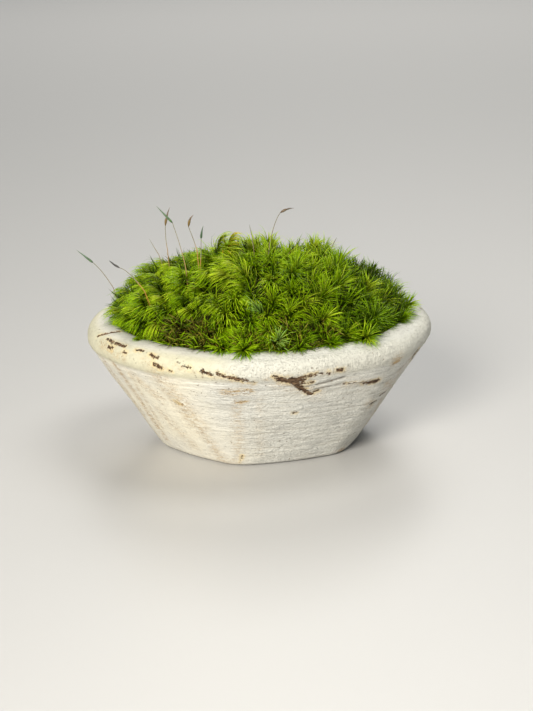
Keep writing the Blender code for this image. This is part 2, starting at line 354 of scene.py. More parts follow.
def distance_to(stroke, angle, run, radius):
    """Millimetres on the bowl's surface from each point to a stroke's middle line."""
    (a0, r0), (a1, r1) = stroke
    off = (angle - math.radians(a0) + math.pi) % math.tau - math.pi
    x = off * radius
    y = run - r0
    dx = math.radians(a1 - a0) * radius
    dy = r1 - r0
    t = np.clip((x * dx + y * dy) / np.maximum(dx * dx + dy * dy, 1e-9), 0, 1)
    return np.hypot(x - t * dx, y - t * dy)


def build_bowl():
    columns = BOWL_COLUMNS
    outer, run = along_section(SECTION, SECTION_STEP)
    kept = (run < HOLLOW_RUN) | (np.arange(len(run)) % 4 == 0)
    outer, run = outer[kept], run[kept]
    inner = np.array([(52.0, 26.0), (47.0, 20.0), (41.5, 15.0), (38.0, 12.2), (33.0, 10.8), (18.0, 10.6)])
    under = np.array([(14.0, 0.0), (28.0, 0.0), (38.0, 0.0)])
    section = np.concatenate([under, outer, inner])
    runs = np.concatenate([np.full(3, -5.0), run, np.full(len(inner), run[-1] + 5)])
    rows = len(section)
    turn = np.linspace(-math.pi, math.pi, columns, endpoint=False)
    angle = np.tile(turn, rows)
    radius = np.repeat(section[:, 0], columns)
    height = np.repeat(section[:, 1], columns)
    along = np.repeat(runs, columns)

    chips, rubs = wear_behind(np.random.default_rng(5))
    depth = np.full(len(angle), NO_CHIP)
    for start, end, half in CHIPS + chips:
        depth = np.maximum(depth, half - distance_to((start, end), angle, along, radius))
    rubbed = np.zeros(len(angle))
    for start, end, half, strength in RUBS + rubs:
        gap = distance_to((start, end), angle, along, radius)
        rubbed = np.maximum(rubbed, strength * np.exp(-((gap / (half * 1.3)) ** 2)))

    # The band stands out crisply round the left, and fades into two faint creases round the right.
    left = smoothstep(0.1, 0.9, 0.5 - 0.5 * np.sin(angle + math.radians(150)) * 1.4)
    crisp = 0.35 + 0.65 * left
    across = along - RIDGE_RUN
    radius = radius + crisp * (0.48 * smoothstep(-0.8, 0.3, across) - 0.48 * smoothstep(1.5, 7.0, across))
    creases = np.exp(-(((across + 2.2) / 0.6) ** 2)) + 0.7 * np.exp(-(((across + 5.6) / 0.5) ** 2))
    radius = radius - (1 - left) * 0.26 * creases
    # The narrow gouges are also marked for a painted shadow in the paint.
    groove_shadow_mask = np.zeros(len(angle))
    for start, end, half, height_mm in TOOL_MARKS:
        mark = np.exp(-((distance_to((start, end), angle, along, radius) / half) ** 2))
        radius = radius + height_mm * mark
        if half < 1.0:
            groove_shadow_mask = np.maximum(groove_shadow_mask, mark)

    flat = np.stack([np.cos(angle) * radius, np.sin(angle) * radius, height], 1)
    # The brush has left more streaks on the side that faces front right; that side is turned from the key
    # lamp, and the paint there is partly painted shade.
    front_right = np.cos(angle + math.radians(32)) - 0.25
    brushed_and_shaded = smoothstep(-0.20, 0.30, front_right + lobes(flat / 30.0 + 2.0) * 0.6)
    hand = lobes(flat / 19.0) * 0.9 + lobes(flat / 8.0 + 9.0) * 0.30
    hand = hand + fine(flat * (0.07, 0.07, 0.50)) * (0.05 + 0.24 * brushed_and_shaded)
    hand = hand + fine(flat * (0.12, 0.12, 0.85) + 7.0) * 0.20 * brushed_and_shaded
    hand = hand + fine(flat * 0.42 + 3.0) * 0.10
    worked = smoothstep(1.0, 6.0, along) * (1 - smoothstep(75.0, 80.0, along))
    radius = radius + hand * worked * 0.8
    recess = 0.28 * smoothstep(-0.25, 0.45, depth + fine(flat * 0.9) * 0.9)
    radius = radius - recess * (along < RIM_RUN)
    height = height - recess * (along >= RIM_RUN)
    reach = radius * carved(angle, height)
    points = np.stack([np.cos(angle) * reach, np.sin(angle) * reach * SQUASH, height], 1)
    points = np.concatenate([points, [(0, 0, 0), (0, 0, 10.5)]])

    # The band is the lip's outer face, the lip is all above the ridge, and the ledge is the lip's top.
    wear = {
        "chip": np.clip(depth, NO_CHIP, 2),
        "rub": rubbed,
        "band": smoothstep(-2.0, 1.0, across) * (1 - 0.85 * smoothstep(66.0, 71.0, along)),
        "painted_groove_shadow": groove_shadow_mask,
        "lip": smoothstep(-2.0, 0.5, across),
        "ledge": smoothstep(67.5, 72.5, along),
        "brushed_and_shaded": brushed_and_shaded,
    }
    # The middle points, under the bowl and inside it, carry no wear.
    for key, values in wear.items():
        unworn = NO_CHIP if key == "chip" else 0.0
        wear[key] = np.append(values, [unworn, unworn])
    faces = ring_faces(rows, columns)
    bowl = mesh_object("bowl_painted", points, faces, paint_material(), attributes=wear)
    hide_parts("bowl")


def paint_material():
    n = Nodes("worn_white_paint")
    band = n.attribute("band")
    lip = n.attribute("lip")
    rub = n.attribute("rub")
    brushed_and_shaded = n.attribute("brushed_and_shaded")
    ragged = n.times(n.minus(n.noise((620, 620, 900), 4, 0.7), 0.5), 3.8)
    ragged = n.plus(ragged, n.times(n.minus(n.noise((1900, 1900, 2600), 3, 0.7), 0.5), 2.0))
    chip_field = n.plus(n.attribute("chip"), ragged)
    chip = n.step(chip_field, -0.05, 0.07)
    halo = n.step(chip_field, -1.7, 0.0)
    strong = n.plus(0.38, n.times(brushed_and_shaded, 0.62))
    strong = n.times(strong, n.minus(1.0, n.times(lip, 0.55)))

    blotch = n.noise((38, 38, 50), 5, 0.6)
    furrows = n.noise((70, 70, 1150), 4, 0.6)
    hairs = n.noise((240, 240, 4600), 3, 0.6)
    crackle = n.noise((1900, 1900, 130), 3)
    mottle = n.noise((420, 420, 520), 5, 0.65)
    level = n.noise((26, 26, 420), 4, 0.6)
    fibres = n.noise((500, 500, 3000), 3)

    # The paint: cream, greyer on the brushed side, yellower and darker on the band, and greyer on top of the
    # lip; the greying and darkening are partly painted shade.
    cream = n.mix(n.step(blotch, 0.34, 0.66), (0.73, 0.70, 0.61), (0.82, 0.77, 0.63))
    # Greyer, cooler cream on the brushed side, partly painted shade for the side turned from the key lamp.
    cream = n.mix(n.times(brushed_and_shaded, 0.75), cream, (0.71, 0.71, 0.67))
    # The band's paint is yellower and darker; the darkness is painted shade that tones down the key lamp on
    # its face, and the greying on the brushed side is partly painted shade too.
    band_paint_and_shade = n.mix(n.times(brushed_and_shaded, 0.8), (0.57, 0.54, 0.38), (0.62, 0.61, 0.55))
    cream = n.mix(n.times(band, 0.85), cream, band_paint_and_shade)
    # The top of the lip is greyer, partly paint worn thin and partly painted shade that tones down the light
    # from above.
    worn_and_shaded_top = n.times(n.attribute("ledge"), n.plus(0.55, n.times(blotch, 0.5)))
    worn_and_shaded_top = n.times(worn_and_shaded_top, n.minus(1.0, n.times(brushed_and_shaded, 0.6)))
    cream = n.mix(worn_and_shaded_top, cream, (0.53, 0.515, 0.46))

    # Dirt in the furrows, brush hairs, long creases, mottling, fine cracks on the band, and painted shadow in
    # the gouges.
    dirt = n.ramp(furrows, [(0.34, 1.0), (0.45, 0.35), (0.54, 0.0)])
    dirt = n.times(dirt, n.times(strong, n.minus(1.0, n.times(band, 0.7))))
    painted = n.mix(n.times(dirt, 0.40), cream, (0.50, 0.46, 0.38))
    grain = n.ramp(hairs, [(0.28, 0.80), (0.48, 1.0), (0.75, 1.04)])
    painted = n.mix(strong, painted, n.mix(1.0, painted, grain, "MULTIPLY"))
    crease = n.minus(1.0, n.step(n.math("ABSOLUTE", n.minus(level, 0.5)), 0.0, 0.028))
    crease = n.times(crease, n.minus(strong, 0.30, True))
    painted = n.mix(n.times(crease, 0.12), painted, (0.40, 0.38, 0.33))
    clouds = n.ramp(mottle, [(0.28, 0.84), (0.50, 1.0), (0.72, 1.04)])
    painted = n.mix(0.9, painted, clouds, "MULTIPLY")
    cracks = n.ramp(crackle, [(0.26, 0.80), (0.40, 1.0), (1.0, 1.0)])
    painted = n.mix(n.times(band, 0.8), painted, n.mix(1.0, painted, cracks, "MULTIPLY"))
    # Painted shadow darkens the narrow gouges.
    painted_groove_shadow = n.times(n.attribute("painted_groove_shadow"), n.step(n.noise((260, 260, 700), 3), 0.30, 0.50))
    painted = n.mix(n.times(painted_groove_shadow, 0.9), painted, (0.20, 0.18, 0.15))

    # Rubbed places, where the ochre ground and the wood show through in flecks, and ochre edges to the chips.
    flecks = n.step(n.noise((330, 330, 1000), 5, 0.7), 0.40, 0.60)
    painted = n.mix(n.times(n.times(rub, flecks), 1.1, True), painted, (0.50, 0.36, 0.19))
    dots = n.step(n.noise((1000, 1000, 1300), 2), 0.57, 0.62)
    painted = n.mix(n.times(n.times(rub, dots), 0.95, True), painted, (0.27, 0.17, 0.085))
    ochre = n.times(halo, n.step(n.noise((180, 180, 220), 3), 0.38, 0.60))
    painted = n.mix(n.times(ochre, 0.70), painted, (0.72, 0.56, 0.28))

    # Pores in the brushed paint, a few dark specks, and bare wood in the chips.
    pores = n.step(n.noise((1500, 1500, 1700), 2, 0.6), 0.58, 0.68)
    pores = n.times(pores, n.times(brushed_and_shaded, n.plus(0.16, n.times(lip, 0.10))))
    painted = n.mix(pores, painted, (0.40, 0.38, 0.33))
    pits = n.step(n.noise((900, 900, 900), 1), 0.70, 0.75)
    speck = n.times(pits, n.step(n.noise((60, 60, 80), 2), 0.44, 0.62))
    painted = n.mix(n.times(speck, 0.85), painted, (0.26, 0.18, 0.10))
    dark, brown, pale = (0.028, 0.014, 0.008), (0.100, 0.054, 0.028), (0.36, 0.23, 0.12)
    wood = n.ramp(fibres, [(0.34, dark), (0.50, brown), (0.68, pale)])

    height = n.times(n.plus(furrows, n.times(hairs, 0.35)), strong)
    height = n.plus(height, n.times(n.times(crackle, band), 0.6))
    height = n.minus(height, n.times(crease, 0.6))
    peel = n.times(n.noise((800, 800, 900), 3), n.plus(0.3, brushed_and_shaded))
    height = n.plus(height, n.times(n.plus(mottle, peel), n.minus(0.8, n.times(lip, 0.1))))
    height = n.minus(height, n.times(chip, 2.0))
    height = n.plus(height, n.times(n.times(chip, fibres), 1.6))
    height = n.minus(height, n.plus(speck, n.times(pores, 1.5)))
    roughness = n.plus(0.50, n.times(mottle, 0.26))
    return n.principled({
        "Base Color": n.mix(chip, painted, wood),
        "Roughness": n.plus(roughness, n.times(chip, 0.2)),
        "Specular IOR Level": 0.32,
        "Normal": n.bump(height, 0.00055),
    })


# --- Growing medium and the mat under the leaves ---


def turned_surface(profile, columns):
    """Points and faces of a closed body turned from a profile that starts and ends on the axis."""
    turn = np.linspace(0, math.tau, columns, endpoint=False)
    middle = profile[1:-1]
    rows = len(middle)
    radius = np.repeat(middle[:, 0], columns)
    height = np.repeat(middle[:, 1], columns)
    points = np.stack([np.tile(np.cos(turn), rows) * radius, np.tile(np.sin(turn), rows) * radius, height], 1)
    points = np.concatenate([points, [(0, 0, profile[0, 1]), (0, 0, profile[-1, 1])]])
    return points, ring_faces(rows, columns)


def build_medium():
    profile = np.array([
        (0, 10.9), (20, 10.9), (32.5, 10.9), (38.6, 14.6), (46.9, 23.8), (55.2, 33.0), (57.0, 37.0),
        (58.4, 40.0), (50, 40.3), (38, 40.6), (24, 40.9), (12, 41.1), (0, 41.2),
    ])
    points, faces = turned_surface(profile, 128)
    top = smoothstep(39.5, 40.0, points[:, 2])
    points[:, 2] += top * (fine(points * 0.22) * 0.7 - 0.5)
    n = Nodes("moist_peat")
    crumbs = n.noise((500, 500, 500), 6, 0.7)
    dark, brown, pale = (0.012, 0.008, 0.005), (0.05, 0.032, 0.018), (0.13, 0.085, 0.045)
    colour = n.ramp(crumbs, [(0.3, dark), (0.55, brown), (0.8, pale)])
    skin = n.principled({"Base Color": colour, "Roughness": 0.95, "Normal": n.bump(crumbs, 0.0006)})
    medium = mesh_object("peat_plug", points, faces, skin)
    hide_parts("growing_medium")


# --- The moss ---

DOME_RADIUS = 69.0
DOME_HEIGHT = 32.5
DOME_POWER = 2.3
SHOOT_SPACING = 7.3
HOLLOW_REACH = 56.5  # roots stay this near to the axis, clear of the bowl's wall
LOWEST_ROOT = 43.0
LEAF_HALF_WIDTHS = np.array([0.19, 0.275, 0.215, 0.12])  # from a leaf's base to near its tip

# A leaf's tone runs from brown and straw (dead) over dark and light green to yellow and a bluish green, the
# last partly a painted highlight.
DEAD_TONES = (0.04, 0.24)
DARK_GREEN = 0.30
LIGHT_GREEN = 0.79
BLUISH_SHEEN_FROM = 0.90

# Each valley between lobes: its two ends (x, y), half its width and its depth.
VALLEYS = [
    ((-31, -22), (-41, -47), 3.6, 4.5), ((-17, -34), (-14, -50), 3.2, 4.5),
    ((11, -38), (17, -46), 4.0, 5.0), ((29, -20), (30, -50), 3.0, 3.0), ((-10, 4), (-4, -22), 3.5, 2.2),
    ((20, 8), (30, -10), 4.0, 2.2), ((46, -6), (58, -16), 3.5, 3.0), ((-52, 6), (-30, 2), 3.5, 2.0),
    ((-14, 26), (-24, 52), 4.0, 4.0), ((14, 30), (22, 56), 4.0, 4.0), ((40, 24), (56, 34), 3.5, 3.5),
    ((-38, 30), (-54, 40), 3.5, 3.0),
]

# Places along the front where few shoots stand and old stems show: x, y and radius.
BARE_PATCHES = [(-34, -53, 6.5), (-24, -57, 5.0), (12, -60, 4.5), (20, -55, 5.0), (-3, -51, 3.5)]


def line_distance(p, a, b):
    a, b = np.array(a, float), np.array(b, float)
    d = b - a
    t = np.clip(((p - a) @ d) / (d @ d), 0, 1)
    return np.linalg.norm(p - a - t[:, None] * d, axis=1)


def dome_reach(share):
    return np.sin(share * math.pi / 2) ** (2 / DOME_POWER)


def dome_point(share, turn):
    """A point on the smooth dome, share of the way from its top to the bowl's lip, at an angle."""
    radius = DOME_RADIUS * dome_reach(share)
    height = BOWL_TOP + DOME_HEIGHT * np.cos(share * math.pi / 2)
    return np.stack([radius * np.cos(turn), radius * np.sin(turn) * SQUASH, height], -1)


def dome_normal(p):
    r = np.hypot(p[:, 0], p[:, 1]) / DOME_RADIUS
    out = np.maximum(r, 1e-6) ** (DOME_POWER - 1) * DOME_POWER / DOME_RADIUS
    up = 2 * (p[:, 2] - BOWL_TOP) / DOME_HEIGHT**2
    flat = unit(np.stack([p[:, 0], p[:, 1], np.zeros(len(p))], 1))
    return unit(flat * out[:, None] + np.array([0, 0, 1.0]) * np.maximum(up, 1e-4)[:, None])


def relief(p):
    """How far the moss stands above or below the smooth dome here."""
    swell = lobes(p / 16.0 + 4.0) * 6.5
    for a, b, half, depth in VALLEYS:
        swell = swell - depth * np.exp(-((line_distance(p[:, :2], a, b) / half) ** 2))
    return swell


def scatter_places(rng, spacing):
    """Places spread evenly over the dome, no two closer than spacing, and wider apart on the right."""
    share = rng.uniform(0, 1, 40000) ** 0.62
    turn = rng.uniform(-math.pi, math.pi, len(share))
    kept = np.empty((0, 3))
    for p in dome_point(share, turn):
        apart = spacing * (1 + 0.26 * smoothstep(0, 35, p[0]))
        if len(kept) == 0 or ((kept - p) ** 2).sum(1).min() > apart**2:
            kept = np.vstack([kept, p])
    return kept


def rooted(tip, axis, length):
    """Where a shoot with this tip is rooted: down its axis, but always inside the bowl's hollow."""
    root = tip - axis * length
    reach = math.hypot(root[0], root[1] / SQUASH)
    if reach > HOLLOW_REACH:
        root[:2] *= HOLLOW_REACH / reach
    root[2] = max(root[2], LOWEST_ROOT)
    return root


def plan_shoots(rng):
    """The shoots over the whole dome. Each is a tuple: its root, its tip, the way it bends, and its leaves'
    length, opening, curl, turn to one side (secund), droop, tone, share of dead ones and number."""
    places = scatter_places(rng, SHOOT_SPACING)
    normal = dome_normal(places)
    rise = relief(places)
    shoots = []
    down = unit(np.stack([places[:, 0], places[:, 1], -0.9 * np.hypot(places[:, 0], places[:, 1])], 1))
    sweep = swirl(places / 26.0) * 3.0
    patch = swirl(places / 13.0 + 20.0)
    for p, n, lift, fall, turn, mood in zip(places, normal, rise, down, sweep, patch):
        x, y, z = p
        if any(math.dist((x, y), bare[:2]) < bare[2] for bare in BARE_PATCHES):
            continue
        left = smoothstep(5, -35, x)
        right = smoothstep(0, 40, x)
        low = smoothstep(68, 57, z)
        front = smoothstep(-15, -45, y)
        high = smoothstep(68, 82, z)
        tangent = fall - n * (fall @ n) + np.array([-0.55 * left, 0, 0])
        tangent = tangent / max(np.linalg.norm(tangent), 1e-6)
        side = np.cross(n, tangent)
        swing = turn * (1 - 0.55 * left) + rng.normal(0, 0.30)
        bend = tangent * math.cos(swing) + side * math.sin(swing)
        upright = np.array([0, 0, 0.60 - 0.25 * low])
        axis = n * 0.62 + upright + bend * (0.30 + 0.25 * left) + rng.normal(0, 0.20, 3)
        axis = axis / np.linalg.norm(axis)
        bend = bend - axis * (bend @ axis)
        bend = bend / max(np.linalg.norm(bend), 1e-6)
        rough = 1.0 - 0.4 * left
        uneven = rng.uniform(-2.6, 2.2) * rough * (1 + 0.3 * right)
        tip = p + n * (lift * 0.85 * rough - 5.2 + uneven)
        tip[2] -= 5.2 * smoothstep(14, 56, x)
        tip[:2] -= unit(p[:2]) * low * (3.0 + 4.4 * left + 2.6 * right + 1.8 * front)
        root = rooted(tip, axis, rng.uniform(13.0, 18.0))
        leaf = rng.uniform(10.8, 13.6) * (1 + 0.14 * right)
        opening = rng.uniform(0.85, 1.10) + 0.10 * right
        curl = (1.30 + 0.55 * left - 0.42 * right) * rng.uniform(0.75, 1.25)
        secund = np.clip(0.66 + 0.34 * left - 0.40 * right + rng.normal(0, 0.12), 0.1, 1.0)
        droop = 0.38 - 0.25 * low - 0.14 * right
        # Tones shift by place: lighter high up, darker to the right and low in front, partly the moss's own
        # patches and partly painted light and shade.
        tone = 0.645 + 0.16 * mood + rng.normal(0, 0.05) - 0.07 * low * front
        tone = min(tone - 0.05 * right - 0.02 * left + 0.08 * high, 0.77)
        dead = 0.01 + 0.22 * low * front * rng.uniform(0.4, 1.2)
        count = int(98 + 4 * right)
        shoots.append((root, tip, bend, leaf, opening, curl, secund, droop, tone, dead, count))
    return shoots


def add_special_shoots(shoots):
    """The shoots that catch the eye: curled yellow ones on top, stars over the lip, and bluish ones in front,
    whose pale colour is partly a painted highlight.
    """
    rows = [
        # root, tip, bend, leaf, opening, curl, secund, tone, count
        ((-19, 2, 76), (-18, 4, 87.6), (1.0, 0.0, -0.1), 11.0, 0.80, 2.1, 0.85, 0.76, 64),
        ((-14, 3, 77), (-13.5, 4, 88.4), (0.9, 0.0, -0.5), 9.5, 0.70, 2.2, 0.90, 0.85, 60),
        ((54, 0, 51), (63.6, -4, 60.0), (0.5, -0.4, -0.4), 9.6, 1.20, 0.55, 0.20, 0.68, 120),
        ((53, -14, 49), (60.5, -18, 57.5), (0.6, -0.4, -0.5), 9.2, 1.10, 0.7, 0.30, 0.60, 90),
        ((-6, -54, 51), (-6.5, -65.0, 58.0), (-0.1, -0.6, -0.8), 10.5, 1.25, 1.1, 0.35, 0.64, 110),
        ((-10, -53, 51), (-15, -62.0, 58.0), (-0.7, -0.5, -0.6), 9.4, 1.15, 1.0, 0.40, 0.62, 80),
        ((15, -52, 51), (15.5, -61.5, 57.0), (0.2, -0.7, -0.6), 8.4, 1.20, 0.9, 0.30, 0.56, 60),
        ((37, -42, 51), (43.5, -50.0, 58.0), (0.3, -0.7, -0.7), 10.2, 1.25, 0.9, 0.30, 0.68, 110),
        ((25, -47, 50), (29.0, -55.0, 56.5), (0.2, -0.8, -0.5), 8.6, 1.10, 0.8, 0.30, 0.60, 80),
        ((-42, -33, 50), (-48.3, -38.4, 55.5), (-0.5, -0.7, -0.5), 8.2, 1.0, 1.3, 0.80, 0.66, 90),
        ((-52, -14, 50), (-57.8, -16, 58.0), (-0.7, -0.4, -0.6), 8.4, 1.0, 1.4, 0.90, 0.68, 90),
        ((4, -45, 60), (0.0, -52.5, 71.0), (-0.4, -0.5, 0.2), 11.5, 0.45, 0.5, 0.60, 0.955, 30),
        ((-30, -25, 68), (-31, -28.5, 79.5), (-0.6, -0.2, -0.3), 10.5, 0.90, 1.5, 0.70, 0.66, 96),
        ((-46, -34, 61), (-47.5, -38.5, 72.5), (-0.7, -0.2, -0.3), 10.0, 0.90, 1.6, 0.85, 0.66, 96),
        ((3, -51, 52), (6.5, -62.0, 60.0), (0.6, -0.6, 0.1), 9.6, 1.0, 0.7, 0.20, 0.955, 44),
    ]
    for root, tip, bend, leaf, opening, curl, secund, tone, count in rows:
        bend = unit(np.array(bend))
        shoots.append((root, tip, bend, leaf, opening, curl, secund, 0.35, tone, 0.0, count))


def grow_leaves(shoots, rng):
    """All the shoots' leaves: starts, first directions, where and how hard they curl, sizes and tones."""
    columns = [np.array(column, float) for column in zip(*shoots)]
    count = columns.pop().astype(int)
    own = np.repeat(np.arange(len(count)), count)
    rank = np.concatenate([np.arange(c) for c in count])
    up_stem = (rank + rng.uniform(0, 1, len(rank))) / count[own]
    root, tip, bend, leaf, spread, curl, secund, droop, tone, dead = (column[own] for column in columns)
    axis = unit(tip - root)
    length = np.linalg.norm(tip - root, axis=1)
    helper = np.where(np.abs(axis[:, 2:]) < 0.9, [[0, 0, 1.0]], [[1.0, 0, 0]])
    one = unit(np.cross(axis, helper))
    two = np.cross(axis, one)
    turn = rank * GOLDEN_TURN + rng.normal(0, 0.25, len(rank)) + own * 1.7
    radial = one * np.cos(turn)[:, None] + two * np.sin(turn)[:, None]

    up_stem = 0.28 + 0.72 * up_stem**0.8
    sag = (0.20 * length * (up_stem**2 - up_stem * 0.5))[:, None]
    start = root + axis * (length * up_stem)[:, None] + bend * sag
    opening = np.radians(58 - 40 * up_stem**1.5) * spread + rng.normal(0, 0.10, len(rank))
    opening = np.clip(opening, 0.05, 1.5)
    heading = unit(axis + bend * (0.45 * secund * up_stem)[:, None])
    sideways = unit(radial * (1 - 0.50 * secund)[:, None] + bend * (0.55 * secund)[:, None])
    way = unit(heading * np.cos(opening)[:, None] + sideways * np.sin(opening)[:, None])
    size = leaf * (1 - 0.25 * up_stem**4) * rng.uniform(0.78, 1.14, len(rank))
    goal = bend * secund[:, None] + radial * (1.05 - secund)[:, None] - droop[:, None] * [[0, 0, 1.0]]
    goal = unit(goal + rng.normal(0, 0.17, (len(rank), 3)))
    strength = curl * rng.uniform(0.75, 1.25, len(rank))
    tones = tone + rng.normal(0, 0.085, len(rank)) - 0.18 * (1 - up_stem)
    tones = np.clip(tones, DARK_GREEN, np.maximum(tone + 0.03, LIGHT_GREEN))
    tones = np.where(tone > BLUISH_SHEEN_FROM, tone + rng.normal(0, 0.01, len(rank)), tones)
    is_dead = rng.uniform(0, 1, len(rank)) < dead * (1.5 - up_stem)
    tones = np.where(is_dead, rng.uniform(*DEAD_TONES, len(rank)), tones)
    return start, way, goal, strength, size, tones


def underleaves(rng, count):
    """Single darker leaves that fill the gaps between the shoots; their darkness is partly painted shade for
    the gaps.
    """
    share = rng.uniform(0.02, 1, count) ** 0.62
    p = dome_point(share, rng.uniform(-math.pi, math.pi, count))
    n = dome_normal(p)
    buried = 9.0 + 2.5 * smoothstep(62, 55, p[:, 2])
    start = p + n * (relief(p) * 0.75 - buried + rng.uniform(-1.5, 1.5, count))[:, None]
    way = unit(n + [[0, 0, 0.3]] + rng.normal(0, 0.45, (count, 3)))
    goal = unit(rng.normal(0, 1, (count, 3)) + [[0, 0, -0.4]])
    # Dark green tones, partly painted shade deep between the shoots.
    tones = np.clip(rng.normal(0.31, 0.05, count), 0.285, 0.60)
    leaves = (start, way, goal, rng.uniform(0.4, 1.3, count), rng.uniform(6.5, 9.0, count), tones)
    covered = np.ones(count, bool)
    for x, y, radius in BARE_PATCHES:
        covered &= np.hypot(p[:, 0] - x, p[:, 1] - y) > radius
    return tuple(values[covered] for values in leaves)


def thatch(rng, count):
    """Old brown and straw-coloured leaves, tangled low along the front; the darkest are partly painted shade.
    """
    x = rng.uniform(-46, 34, count)
    level = rng.uniform(0, 1, count) ** 1.3
    share = 0.97 - 0.27 * level
    radius = DOME_RADIUS * dome_reach(share)
    y = -np.sqrt(np.maximum(radius**2 - x**2, 100.0))
    p = dome_point(share, np.arctan2(y, x))
    n = dome_normal(p)
    start = p + n * (relief(p) * 0.75 - rng.uniform(5.0, 8.5, count))[:, None]
    flow = rng.normal(0, 1, (count, 3)) * [[1.0, 0.6, 0.8]]
    way = unit(flow + n * 0.25)
    goal = unit(rng.normal(0, 1, (count, 3)))
    is_dead = rng.uniform(0, 1, count) < 0.52
    # Many dead tones sit near the darkest brown, partly painted shade so that these leaves read as dark gaps.
    dead = 0.26 * rng.uniform(0, 1, count) ** 1.4
    tones = np.where(is_dead, dead, rng.uniform(0.38, 0.78, count))
    leaves = (start, way, goal, rng.uniform(0.3, 1.1, count), rng.uniform(4.5, 8.0, count), tones)
    tangled = fine(p * 0.17) > -0.03
    return tuple(values[tangled] for values in leaves)


def leaf_lines(start, way, goal, strength, size, rng):
    """Each leaf as a centre line of four steps that curls towards its goal, with its width along the way."""
    line = [start]
    ways = []
    for share in (0.16, 0.30, 0.42, 0.50):
        ways.append(way)
        line.append(line[-1] + way * (size / 4)[:, None])
        pull = goal - way * (goal * way).sum(1)[:, None]
        way = unit(way + pull * (strength * share)[:, None])
    ways = np.stack(ways, 1)
    wide = unit(np.cross(ways, goal[:, None, :]))
    half = LEAF_HALF_WIDTHS * rng.uniform(0.75, 1.25, (len(start), 1))
    return np.stack(line, 1), ways, wide, half


def keep_off_lip(p):
    """Lifts points out of the bowl's lip, onto its surface."""
    radius = np.hypot(p[..., 0], p[..., 1] / SQUASH)
    reach = [59.5, 60.9, 61.6, 63.0, 65.5, 68.5, 70.5, 72.5, 74.0, 75.0, 75.8, 76.3]
    height = [30, 51, 54.2, 55.7, 56.1, 55.8, 55.3, 54.6, 53.8, 52.8, 50, 30]
    p[..., 2] = np.maximum(p[..., 2], np.interp(radius, reach, height))
    return p


def leaf_mesh(name, skin, line, ways, wide, half, tones):
    """One joined mesh of closed, three-sided leaves. Its map holds the leaf's tone and the place along it."""
    n = len(line)
    keel = np.cross(ways, wide)
    rings = line[:, :4]
    sides = wide * half[:, :, None]
    crest = rings + keel * half[:, :, None] * 0.55
    points = np.stack([rings + sides, crest, rings - sides], 2).reshape(n, 12, 3)
    points = keep_off_lip(np.concatenate([points, line[:, 4:5]], 1))
    base = (np.arange(n) * 13)[:, None]
    quads = []
    for ring in range(3):
        for k in range(3):
            low, high, m = ring * 3, ring * 3 + 3, (k + 1) % 3
            quads.append(base + [low + k, low + m, high + m, high + k])
    ends = [base + [9, 10, 12], base + [10, 11, 12], base + [11, 9, 12], base + [2, 1, 0]]
    along = np.append(np.repeat([0.0, 0.25, 0.5, 0.75], 3), 1.0)
    uv = 0.004 + 0.992 * np.stack([np.repeat(tones, 13), np.tile(along, n)], 1)
    faces = [np.concatenate(quads), np.concatenate(ends)]
    return mesh_object(name, points.reshape(-1, 3), faces, skin, uv)


def leaf_material():
    n = Nodes("moss_leaves")
    tone, along = n.map_places()
    # The pale bluish green at the top of the ramp is partly a painted highlight.
    hue = n.ramp(tone, [
        (0.00, (0.034, 0.025, 0.003)), (0.10, (0.185, 0.145, 0.014)), (0.20, (0.46, 0.41, 0.05)),
        (0.28, (0.038, 0.080, 0.002)), (0.42, (0.115, 0.240, 0.002)), (0.56, (0.255, 0.465, 0.002)),
        (0.70, (0.450, 0.690, 0.004)), (0.82, (0.750, 0.880, 0.040)), (0.88, (0.80, 0.50, 0.02)),
        (0.95, (0.44, 0.72, 0.15)),
    ])
    # Each leaf darkens towards its base, painted shade deep in the tuft, and lightens towards its tip, partly
    # its own paler tip and partly painted light.
    shade = n.ramp(along, [(0.0, 0.12), (0.30, 0.42), (0.65, 0.97), (1.0, 1.38)])
    colour = n.mix(1.0, hue, shade, "MULTIPLY")
    leaf = n.add("BsdfPrincipled", {
        "Base Color": colour,
        "Roughness": 0.27,
        "Specular IOR Level": 0.60,
        "Specular Tint": (1.0, 1.0, 0.35, 1.0),
    })
    through = n.add("BsdfTranslucent", {"Color": colour})
    both = n.add("MixShader", {0: 0.38, 1: leaf.outputs[0], 2: through.outputs[0]})
    return n.finish(both)


def build_moss():
    rng = np.random.default_rng(42)
    shoots = plan_shoots(rng)
    add_special_shoots(shoots)
    groups = [grow_leaves(shoots, rng), underleaves(rng, 3800), thatch(rng, 3400)]
    start, way, goal, strength, size, tones = (np.concatenate(parts) for parts in zip(*groups))
    line, ways, wide, half = leaf_lines(start, way, goal, strength, size, rng)
    skin = leaf_material()
    sector = np.floor((np.arctan2(start[:, 1], start[:, 0]) + math.pi) / math.tau * 5).astype(int) % 5
    for k in range(5):
        mine = sector == k
        own = (values[mine] for values in (line, ways, wide, half, tones))
        obj = leaf_mesh(f"moss_leaves_{k + 1}", skin, *own)
        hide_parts("moss_cushion")


